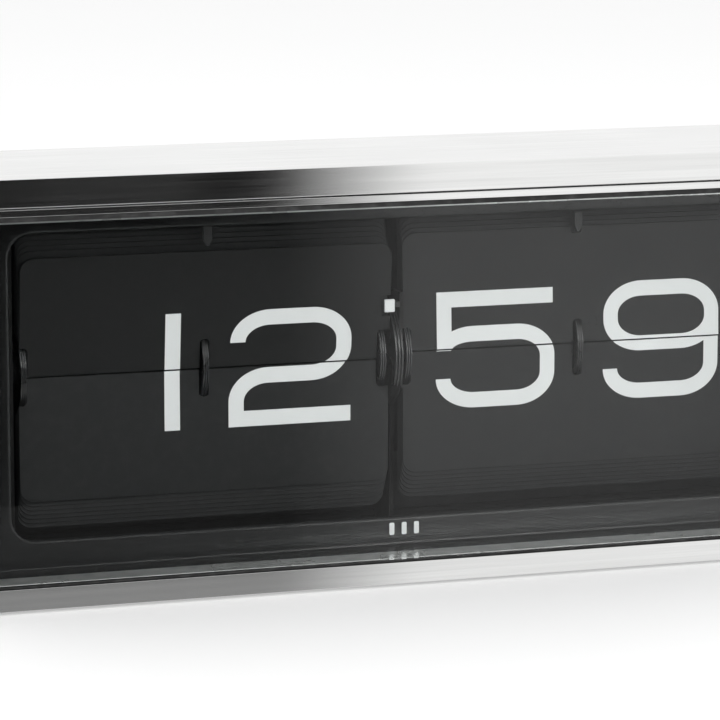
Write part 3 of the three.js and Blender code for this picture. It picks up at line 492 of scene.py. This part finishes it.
def build_sleeve():
    """Satin sleeve inside the glass, with eased edges."""
    ease = 0.18
    outer = (SLEEVE_HALF, SLEEVE_BOTTOM, SLEEVE_TOP)
    inner = grown(outer, -SLEEVE_WALL)
    sections = [
        (*outer, 1.5, SLEEVE_BACK),
        (*outer, 1.5, SLEEVE_FRONT + ease),
        (*grown(outer, -ease), 1.4, SLEEVE_FRONT),
        (*grown(inner, ease), 0.9, SLEEVE_FRONT),
        (*inner, 0.8, SLEEVE_FRONT + ease),
        (*inner, 0.8, SLEEVE_BACK),
    ]
    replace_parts(ring("sleeve_liner", sections, "bright_steel", smooth=15.0), "window_sleeve")


def build_mask():
    """Black mask round the leaves, in one piece with the walls in front of it."""
    outer = (SLEEVE_HALF, SLEEVE_BOTTOM, SLEEVE_TOP)
    inner = grown(outer, -SLEEVE_WALL)
    gap, cove, bend, support = 0.3, 0.8, 0.25, 0.3
    half, bottom, top, radius = WINDOW
    window = (half, bottom, top)
    sections = [
        (*outer, 1.5, MASK_FRONT + MASK_THICK),
        (*outer, 1.5, SLEEVE_BACK + gap),
        (*inner, 0.8, SLEEVE_BACK + gap),
        (*inner, 0.8, MASK_FRONT - cove),
        (*grown(inner, -bend), 0.9, MASK_FRONT - bend),
        (*grown(inner, -cove), 1.0, MASK_FRONT),
        (*grown(inner, -cove - support), 1.0, MASK_FRONT),
    ]
    lip, steps = 1.3, 5
    sections.append((*grown(window, lip + support), radius + lip + support, MASK_FRONT))
    for i in range(steps + 1):
        angle = math.radians(90 * i / steps)
        out = lip * (1 - math.sin(angle))
        depth = MASK_FRONT + lip * (1 - math.cos(angle))
        sections.append((*grown(window, out), radius + out, depth))
    sections.append((*window, radius, MASK_FRONT + MASK_THICK))
    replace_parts(ring("leaf_mask", sections, "gloss_black"), "display_mask")


def tile(half, height, radius, x, z, steps=4):
    """(x, z) outline of a small rounded plate about its own middle."""
    return [(px + x, pz + z) for px, _, pz in loop(half, -height / 2, height / 2, radius, 0, steps)]


def build_mark():
    """A plain printed mark in the middle of the mask: three small upright bars."""
    bm = bmesh.new()
    raised, sunk = 0.08, 0.02
    for x in (-9.7, -4.7, 0.3):
        slab(bm, tile(1.0, 4.8, 0.5, x, 15.4), MASK_FRONT - raised, MASK_FRONT + sunk, 0.02)
    piece("mask_mark", bm, "white_plastic")


def build_index_tab():
    """White square tab beside the middle disc, with its dark bracket."""
    bm = bmesh.new()
    slab(bm, tile(2.05, 5.0, 0.35, -3.75, 99.1), 47.6, 48.55, 0.12)
    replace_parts(piece("index_tab_face", bm, "white_plastic"), "index_tab")
    bm = bmesh.new()
    slab(bm, tile(1.6, 2.4, 0.3, -1.0, 99.4, 3), 48.6, 51.0, 0.1)
    piece("index_tab_bracket", bm, "matte_black")


def build_blinds():
    """Thin black blinds at both ends of the window, from the mask back along the side plates."""
    half, bottom, top, _ = WINDOW
    front, bend, back = 28.8, 36.5, 53.8
    plate_side, bay_side, overlap = 155.95, 156.15, 2
    section = [
        (half + 0.3, front), (half + 0.8, front), (bay_side, bend),
        (bay_side, back), (plate_side, back), (plate_side, bend),
    ]
    for label, side in (("left", -1), ("right", 1)):
        bm = bmesh.new()
        low, high = (
            [bm.verts.new((side * x, depth, z)) for x, depth in section]
            for z in (bottom - overlap, top + overlap)
        )
        wall(bm, low, high)
        bm.faces.new(low)
        bm.faces.new(high[::-1])
        piece(f"{label}_blind", bm, "matte_black", finish="blackened_steel")


def build_ribs():
    """Raised ribs in the middle of the rear panel, rounded at both ends."""
    bm = bmesh.new()
    count, first, pitch, height, ease = 9, 50.0, 7.0, 0.75, 0.4
    for row in range(count):
        outline = tile(38.0, 2.0, 0.99, 0.0, first + row * pitch, 5)
        outer = [bm.verts.new((x, PANEL_BACK, z)) for x, z in outline]
        crest = [bm.verts.new((x, PANEL_BACK + height, z)) for x, z in inset(outline, ease)]
        wall(bm, outer, crest)
        bm.faces.new(crest)
        bm.faces.new(outer[::-1])
    piece("rear_ribs", bm, "matte_black")


def screw_head(bm, x, z, angle):
    """A low domed head on its shank, with a cross recess, seen from behind."""
    root, seat, rim, face = 80.1, 89.1, 89.35, 89.7
    shank, head, dome = 1.4, 3.0, 2.7
    arm, width, recess, taper, count = 1.9, 0.45, 1.1, 0.8, 32

    def circle(radius, depth):
        steps = [2 * math.pi * i / count for i in range(count)]
        return [bm.verts.new((x + radius * math.cos(t), depth, z + radius * math.sin(t))) for t in steps]

    profile = [(shank, root), (shank, seat), (head, seat), (head, rim), (dome, face)]
    rings = [circle(radius, depth) for radius, depth in profile]
    for a, b in zip(rings, rings[1:]):
        wall(bm, a, b)
    bm.faces.new(rings[0][::-1])
    corners = []
    for quadrant in range(4):
        spin = Matrix.Rotation(math.radians(90 * quadrant + angle), 2)
        corners += [spin @ Vector(p) for p in ((width, width), (width, arm), (-width, arm))]
    top = [bm.verts.new((x + p.x, face, z + p.y)) for p in corners]
    bottom = [bm.verts.new((x + p.x * taper, face - recess, z + p.y * taper)) for p in corners]
    wall(bm, top, bottom)
    bm.faces.new(bottom)
    edges = [
        bm.edges.get((verts[i - 1], verts[i]))
        for verts in (rings[-1], top)
        for i in range(len(verts))
    ]
    bmesh.ops.triangle_fill(bm, edges=edges, use_beauty=True)


def build_screws():
    """Four screws, each stopped at its own angle."""
    places = [(x, z) for x in (-SCREW_X, SCREW_X) for z in SCREW_Z]
    for number, (x, z) in enumerate(places, 1):
        bm = bmesh.new()
        screw_head(bm, x, z, 17 + 31 * number)
        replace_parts(piece(f"screw_{number}", bm, "plain_steel"), f"rear_screw_{number}")


# ---- leaves ---------------------------------------------------------------------------------------
def reach(prefix, depth, up):
    """How far past the split line a disc comes at a depth, above it or below it, with clearance."""
    away = AXIS_DEPTH - depth
    offset = (AXIS_Z - SPLIT[prefix]) * (1 if up else -1)
    clearance = 0.5
    return math.sqrt((DISC_RADIUS + clearance) ** 2 - away ** 2) + offset


def leaf_outline(bottom, top, notch, cutout=None):
    """Leaf outline about its own middle: round top corners and notches for the three discs."""
    gap = DISC_THICK / 2 + 0.75
    ease = 1.2
    bend = ease * 0.3
    corner, steps = LEAF_CORNER, 12
    left, middle, right = DISC_PLACES
    x0, x1 = middle - gap, middle + gap
    points = [
        (-LEAF_HALF, notch), (left + gap - ease, notch), (left + gap, notch - ease), (left + gap, bottom),
        (x0, bottom), (x0, notch - ease), (x0 + bend, notch - bend), (x0 + ease, notch),
        (x1 - ease, notch), (x1 - bend, notch - bend), (x1, notch - ease), (x1, bottom),
        (right - gap, bottom), (right - gap, notch - ease), (right - gap + ease, notch), (LEAF_HALF, notch),
    ]
    if cutout and cutout[0] == "side":
        _, inner, low, high = cutout
        points += [(LEAF_HALF, low), (inner, low), (inner, high), (LEAF_HALF, high)]
    for start, sign in ((0, 1), (90, -1)):
        for i in range(steps + 1):
            angle = math.radians(start + 90 * i / steps)
            cx = sign * (LEAF_HALF - corner)
            points.append((cx + corner * math.cos(angle), top - corner + corner * math.sin(angle)))
        if cutout and cutout[0] == "top" and sign == 1:
            _, centre, half, low = cutout
            round_by = 0.4
            profile = [(half, top), (half - round_by, low + round_by), (half - 2 * round_by, low)]
            points += [(centre + x, z) for x, z in profile]
            points += [(centre - x, z) for x, z in profile[::-1]]
    return points


def ribbon(bm, path, front, back):
    """A printed stroke: path is [(x, z, (rx, rz) or None)], corners are square turns."""
    h = STROKE / 2
    steps = 16
    left, right = [], []

    def unit(a, b):
        v = Vector((b[0] - a[0], b[1] - a[1]))
        return v.normalized()

    for i, (x, z, radii) in enumerate(path):
        p = Vector((x, z))
        if i == 0 or i == len(path) - 1:
            d = unit(path[0], path[1]) if i == 0 else unit(path[-2], path[-1])
            n = Vector((-d.y, d.x))
            left.append(p + n * h)
            right.append(p - n * h)
            continue
        a, b = unit(path[i - 1], path[i]), unit(path[i], path[i + 1])
        na, nb = Vector((-a.y, a.x)), Vector((-b.y, b.x))
        if radii is None:
            left.append(p + (na + nb) * h)
            right.append(p - (na + nb) * h)
            continue
        ra = radii[0] if abs(a.x) > 0.5 else radii[1]
        rb = radii[0] if abs(b.x) > 0.5 else radii[1]
        centre = p - a * ra + b * rb
        turn_left = a.x * b.y - a.y * b.x > 0
        for k in range(steps + 1):
            t = math.radians(90 * k / steps)
            inner = centre - b * (rb - h) * math.cos(t) + a * (ra - h) * math.sin(t)
            outer = centre - b * (rb + h) * math.cos(t) + a * (ra + h) * math.sin(t)
            left.append(inner if turn_left else outer)
            right.append(outer if turn_left else inner)
    closed = path[0] == path[-1]
    if closed:
        left, right = left[:-1], right[:-1]
    lf, lb, rf, rb = [
        [bm.verts.new((p.x, depth, p.y)) for p in side]
        for side in (left, right)
        for depth in (front, back)
    ]
    count = len(left)
    for i in range(count if closed else count - 1):
        j = (i + 1) % count
        bm.faces.new((lf[i], rf[i], rf[j], lf[j]))
        bm.faces.new((lb[j], rb[j], rb[i], lb[i]))
        bm.faces.new((lf[j], lb[j], lb[i], lf[i]))
        bm.faces.new((rf[i], rb[i], rb[j], rf[j]))
    if not closed:
        bm.faces.new((lf[0], lb[0], rb[0], rf[0]))
        bm.faces.new((lf[-1], rf[-1], rb[-1], lb[-1]))


# Numeral strokes about the split line: x from the left edge of the numeral's cell, z from the split.
ROUND = (13.0, 10.0)
CELL = 49.3
LEFT, RIGHT = STROKE / 2, CELL - STROKE / 2
NUMERALS = {
    "0": [[(CELL / 2, 21.0, None), (LEFT, 21.0, ROUND), (LEFT, -20.6, ROUND), (RIGHT, -20.6, ROUND),
           (RIGHT, 21.0, ROUND), (CELL / 2, 21.0, None)]],
    "1": [[(RIGHT, 22.3, None), (RIGHT, -23.6, None)]],
    "2": [[(LEFT + 0.4, 9.6, None), (LEFT + 0.4, 19.2, (13.0, 9.6)), (RIGHT, 19.2, ROUND),
           (RIGHT, -3.9, ROUND), (LEFT, -3.9, ROUND), (LEFT, -20.6, None), (CELL, -20.6, None)]],
    "3": [[(LEFT + 0.4, 9.6, None), (LEFT + 0.4, 19.2, (13.0, 9.6)), (RIGHT, 19.2, ROUND),
           (RIGHT, -0.8, ROUND), (9.0, -0.8, None)],
          [(9.0, -0.8, None), (RIGHT, -0.8, (13.0, 9.8)), (RIGHT, -20.6, ROUND), (LEFT, -20.6, (13.0, 9.4)),
           (LEFT, -11.0, None)]],
    "5": [[(CELL - 0.8, 19.6, None), (LEFT, 19.6, None), (LEFT, -0.6, None)],
          [(LEFT, -0.6, None), (LEFT, 5.8, (12.0, 6.3)), (RIGHT, 5.8, ROUND), (RIGHT, -20.6, ROUND),
           (LEFT - 0.3, -20.6, (13.0, 8.9)), (LEFT - 0.3, -11.7, None)]],
    "9": [[(CELL / 2, 20.5, None), (RIGHT, 20.5, ROUND), (RIGHT, -1.5, ROUND), (LEFT, -1.5, ROUND),
           (LEFT, 20.5, ROUND), (CELL / 2, 20.5, None)],
          [(RIGHT, 10.0, None), (RIGHT, -20.7, ROUND), (LEFT, -20.7, (13.0, 9.2)), (LEFT, -11.4, None)]],
}
CELL_LEFT = {"hour": (-59.85, 8.85), "minute": (-59.8, 10.1)}


def numerals(text, prefix, upper, front, back):
    """Both digits of one leaf, kept only above or only below the split line."""
    bm = bmesh.new()
    overlap_step = 0.012
    for digit, left in zip(text, CELL_LEFT[prefix]):
        for layer, path in enumerate(NUMERALS[digit]):
            moved = [(CENTRE[prefix] + left + x, SPLIT[prefix] + z, r) for x, z, r in path]
            ribbon(bm, moved, front - overlap_step * layer, back)
    edge = SPLIT_GAP if upper else -SPLIT_GAP
    bmesh.ops.bisect_plane(
        bm, geom=bm.verts[:] + bm.edges[:] + bm.faces[:], dist=0.0001,
        plane_co=(0, 0, SPLIT[prefix] + edge), plane_no=(0, 0, -1 if upper else 1), clear_outer=True,
    )
    boundary = [e for e in bm.edges if e.is_boundary]
    bmesh.ops.holes_fill(bm, edges=boundary)
    return bm


def add_leaf(bm, prefix, outline, front, flip=False):
    """One leaf of an outline about its middle, standing (or, flipped, hanging) at the split line."""
    sign = -1 if flip else 1
    points = [(CENTRE[prefix] + x, SPLIT[prefix] + sign * z) for x, z in outline]
    if flip:
        points = points[::-1]
    slab(bm, points, LEAF_DEPTH + front, LEAF_DEPTH + front + LEAF_THICK, LEAF_EASE)


def build_leaves(prefix, shown, following, cutout):
    """The falling leaf of a set, the packs above and below the split, and what is printed on them."""
    build_falling_leaf(prefix, cutout)
    build_upper_pack(prefix, cutout)
    build_lower_pack(prefix)
    build_numerals(prefix, shown, following)


def build_falling_leaf(prefix, cutout):
    bm = bmesh.new()
    notch = reach(prefix, LEAF_DEPTH, True)
    add_leaf(bm, prefix, leaf_outline(SPLIT_GAP, LEAF_HEIGHT, notch, cutout), LEAF_FRONT)
    turn(bm, SPLIT[prefix], LEAN[prefix])
    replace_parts(piece(f"{prefix}_leaf_sheet", bm, "leaf_plastic", f"{prefix}_leaf"), f"{prefix}_leaf")


def build_upper_pack(prefix, cutout):
    bm = bmesh.new()
    for i in range(UPPER_LEAVES):
        front = UPPER_FRONT + i * LAYER
        notch = reach(prefix, LEAF_DEPTH + front + LAYER, True)
        top = LEAF_HEIGHT + (i + 1) * STEP
        add_leaf(bm, prefix, leaf_outline(1.0 + i, top, notch, cutout if i == 0 else None), front)
    turn(bm, SPLIT[prefix], min(LEAN[prefix], 0.0))
    pack = piece(f"{prefix}_upper_leaves", bm, "leaf_plastic", finish="stacked_leaf")
    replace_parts(pack, f"{prefix}_upper_pack")


def build_lower_pack(prefix):
    bm = bmesh.new()
    for i in range(LOWER_LEAVES):
        front = LOWER_FRONT + i * LAYER
        notch = reach(prefix, LEAF_DEPTH + front, False)
        outline = leaf_outline(SPLIT_GAP, LEAF_HEIGHT + (i + 1) * STEP, notch)
        add_leaf(bm, prefix, outline, front, flip=True)
    pack = piece(f"{prefix}_lower_leaves", bm, "leaf_plastic", finish="stacked_leaf")
    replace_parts(pack, f"{prefix}_lower_pack")


def build_numerals(prefix, shown, following):
    """The numerals shown at rest, and the ones that show when the leaf has fallen."""
    places = (
        ("numeral_upper", shown, True, 0.08, LEAN[prefix], f"{prefix}_leaf"),
        ("numeral_lower", shown, False, 0.63, 0.0, "root"),
        ("next_upper", following, True, 0.88, min(LEAN[prefix], 0.0), "root"),
        ("next_lower", following, False, -0.62, 180 + LEAN[prefix], f"{prefix}_leaf"),
    )
    for label, text, upper, front, lean, body in places:
        bm = numerals(text, prefix, upper, LEAF_DEPTH + front, LEAF_DEPTH + front + INK)
        turn(bm, SPLIT[prefix], lean)
        piece(f"{prefix}_{label}", bm, "white_plastic", body)


# ---- drums ----------------------------------------------------------------------------------------
def disc_profile(x, thick, radius, bore):
    """Closed section of a disc: three fine rim edges, a thin web and a stout hub."""
    h = thick / 2
    web = h * 0.55
    rim, flare, hub, root = radius - 1.9, radius - 2.6, bore + 2.4, bore + 3.2
    groove, step = radius - 0.9, thick / 5
    profile = [
        (x - h, radius), (x - h, rim), (x - web, flare), (x - web, root), (x - h, hub), (x - h, bore),
        (x + h, bore), (x + h, hub), (x + web, root), (x + web, flare), (x + h, rim), (x + h, radius),
    ]
    for k in (4, 2):
        left = x - h + step * k
        profile += [(left, radius), (left, groove), (left - step, groove), (left - step, radius)]
    return profile


def build_disc(name, x, thick, radius, bore, body, node):
    bm = bmesh.new()
    lathe(bm, disc_profile(x, thick, radius, bore), DISC_SEGMENTS)
    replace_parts(piece(name, bm, "matte_black", body, 25.0, "drum_black"), node)


def build_drums():
    for prefix in ("hour", "minute"):
        for label, place in zip(("left", "middle", "right"), DISC_PLACES):
            node = f"{prefix}_disc_{label}"
            x = CENTRE[prefix] + place
            build_disc(f"{node}_ridged", x, DISC_THICK, DISC_RADIUS, TUBE_BORE, f"{prefix}_drum", node)
    x, thick, radius = CENTRE_DISC["x"], CENTRE_DISC["thick"], CENTRE_DISC["radius"]
    build_disc("centre_disc_ridged", x, thick, radius, AXLE_BORE, "minute_drum", "centre_disc")


# ---- scene ----------------------------------------------------------------------------------------
def stage_piece(name, verts, material):
    mesh = bpy.data.meshes.new(name)
    mesh.from_pydata(verts, [], [tuple(range(len(verts)))])
    mesh.materials.append(material)
    obj = bpy.data.objects.new(name, mesh)
    bpy.context.scene.collection.objects.link(obj)
    return obj


def card_material():
    """Black studio card, seen only in reflections; its right edge, its top and its foot fade out."""
    s = Shader("studio_card", (0.004, 0.004, 0.004), 0.9)
    split = s.nodes.new("ShaderNodeSeparateXYZ")
    s.links.new(s.place, split.inputs["Vector"])
    across = s.spread(split.outputs["X"], 1.0, 0.0, 0.125, 0.2)
    foot = s.spread(split.outputs["Z"], 0.5, 0.74, -0.3, CARD_FOOT)
    body = s.math("GREATER_THAN", split.outputs["Z"], CARD_FOOT)
    head = s.spread(split.outputs["Z"], 1.0, 0.0, 0.28, CARD_TOP)
    up = s.math("MAXIMUM", foot, body)
    s.links.new(s.math("MULTIPLY", s.math("MULTIPLY", across, up), head), s.bsdf.inputs["Alpha"])
    s.bsdf.inputs["Specular IOR Level"].default_value = 0.0
    return s.material


def build_stage():
    size = FLOOR_HALF
    corners = [(-size, -size, 0), (size, -size, 0), (size, size, 0), (-size, size, 0)]
    floor = stage_piece("floor", corners, floor_material())
    floor.visible_glossy = False
    floor.visible_transmission = False
    card = [
        (CARD_LEFT, CARD_Y, CARD_BOTTOM), (CARD_RIGHT, CARD_Y, CARD_BOTTOM),
        (CARD_RIGHT, CARD_Y, CARD_TOP), (CARD_LEFT, CARD_Y, CARD_TOP),
    ]
    obj = stage_piece("studio_card", card, card_material())
    obj.visible_camera = False
    obj.visible_shadow = False
    obj.visible_diffuse = False


def build_world():
    """White for the camera, and a soft sky that is bright from the horizon up for everything else."""
    world = bpy.data.worlds.new("studio")
    bpy.context.scene.world = world
    world.use_nodes = True
    nodes, links = world.node_tree.nodes, world.node_tree.links
    for node in list(nodes):
        nodes.remove(node)
    out = nodes.new("ShaderNodeOutputWorld")
    white = nodes.new("ShaderNodeBackground")
    white.inputs["Color"].default_value = (1, 1, 1, 1)
    white.inputs["Strength"].default_value = 1.0
    studio = nodes.new("ShaderNodeBackground")
    studio.inputs["Strength"].default_value = 1.0
    coords = nodes.new("ShaderNodeTexCoord")
    split = nodes.new("ShaderNodeSeparateXYZ")
    height = nodes.new("ShaderNodeMapRange")
    height.inputs["From Min"].default_value = -1.0
    ramp = nodes.new("ShaderNodeValToRGB")
    stops = ((0.0, 0.75), (0.39, 0.86), (0.42, 1.02), (0.87, 1.0), (1.0, 0.5))
    while len(ramp.color_ramp.elements) < len(stops):
        ramp.color_ramp.elements.new(0.5)
    for element, (place, level) in zip(ramp.color_ramp.elements, stops):
        element.position = place
        element.color = (level, level, level, 1)
    path = nodes.new("ShaderNodeLightPath")
    mix = nodes.new("ShaderNodeMixShader")
    links.new(coords.outputs["Generated"], split.inputs["Vector"])
    links.new(split.outputs["Z"], height.inputs["Value"])
    links.new(height.outputs["Result"], ramp.inputs["Fac"])
    links.new(ramp.outputs["Color"], studio.inputs["Color"])
    links.new(path.outputs["Is Camera Ray"], mix.inputs["Fac"])
    links.new(studio.outputs["Background"], mix.inputs[1])
    links.new(white.outputs["Background"], mix.inputs[2])
    links.new(mix.outputs["Shader"], out.inputs["Surface"])


def area_light(name, place, target, size, power):
    data = bpy.data.lights.new(name, "AREA")
    data.shape = "RECTANGLE"
    data.size, data.size_y = size
    data.energy = power
    obj = bpy.data.objects.new(name, data)
    bpy.context.scene.collection.objects.link(obj)
    obj.location = place
    direction = Vector(target) - Vector(place)
    obj.rotation_euler = direction.to_track_quat("-Z", "Y").to_euler()
    obj.visible_glossy = False


def build_camera():
    data = bpy.data.cameras.new("camera")
    data.lens = CAMERA_LENS
    data.sensor_width = CAMERA_SENSOR
    data.clip_start = 0.05
    obj = bpy.data.objects.new("camera", data)
    bpy.context.scene.collection.objects.link(obj)
    yaw, pitch = math.radians(CAMERA_YAW), math.radians(CAMERA_PITCH)
    level = math.cos(pitch)
    forward = Vector((math.sin(yaw) * level, math.cos(yaw) * level, -math.sin(pitch)))
    obj.location = CAMERA_PLACE
    obj.rotation_euler = forward.to_track_quat("-Z", "Y").to_euler()
    bpy.context.scene.camera = obj


def finish_cad():
    """Procedural finishes on every CAD node, and eased edges on those that keep showing."""
    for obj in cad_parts.values():
        for slot in obj.material_slots:
            slot.material = MATERIALS[slot.material.name.split(".")[0]]
    for name in ("base_plate", "tie_rod_1", "tie_rod_2", "left_plate", "centre_plate", "right_plate"):
        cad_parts[name].material_slots[0].material = MATERIALS["blackened_steel"]
    finish_cad_node("outer_cover", 0.25)
    for name in ("hour_catch_finger", "minute_catch_finger", "catch_bar"):
        finish_cad_node(name, 0.2)


build_camera()
build_world()
build_stage()
finish_cad()
build_frame()
build_sleeve()
build_mask()
build_mark()
build_index_tab()
build_blinds()
build_ribs()
build_screws()
build_leaves("hour", "12", "13", ("side", LEAF_HALF - 3.4, 17.2, 25.4))
build_leaves("minute", "59", "00", ("top", -1.2, 2.3, 43.8))
build_drums()
area_light("key", (-0.1, -1.6, 0.55), (0, 0, 0.05), (1.8, 0.9), 13)
area_light("overhead", (0.2, 0.2, 1.8), (0, 0, 0), (2.6, 2.6), 8)
bpy.context.scene.view_settings.view_transform = "Standard"
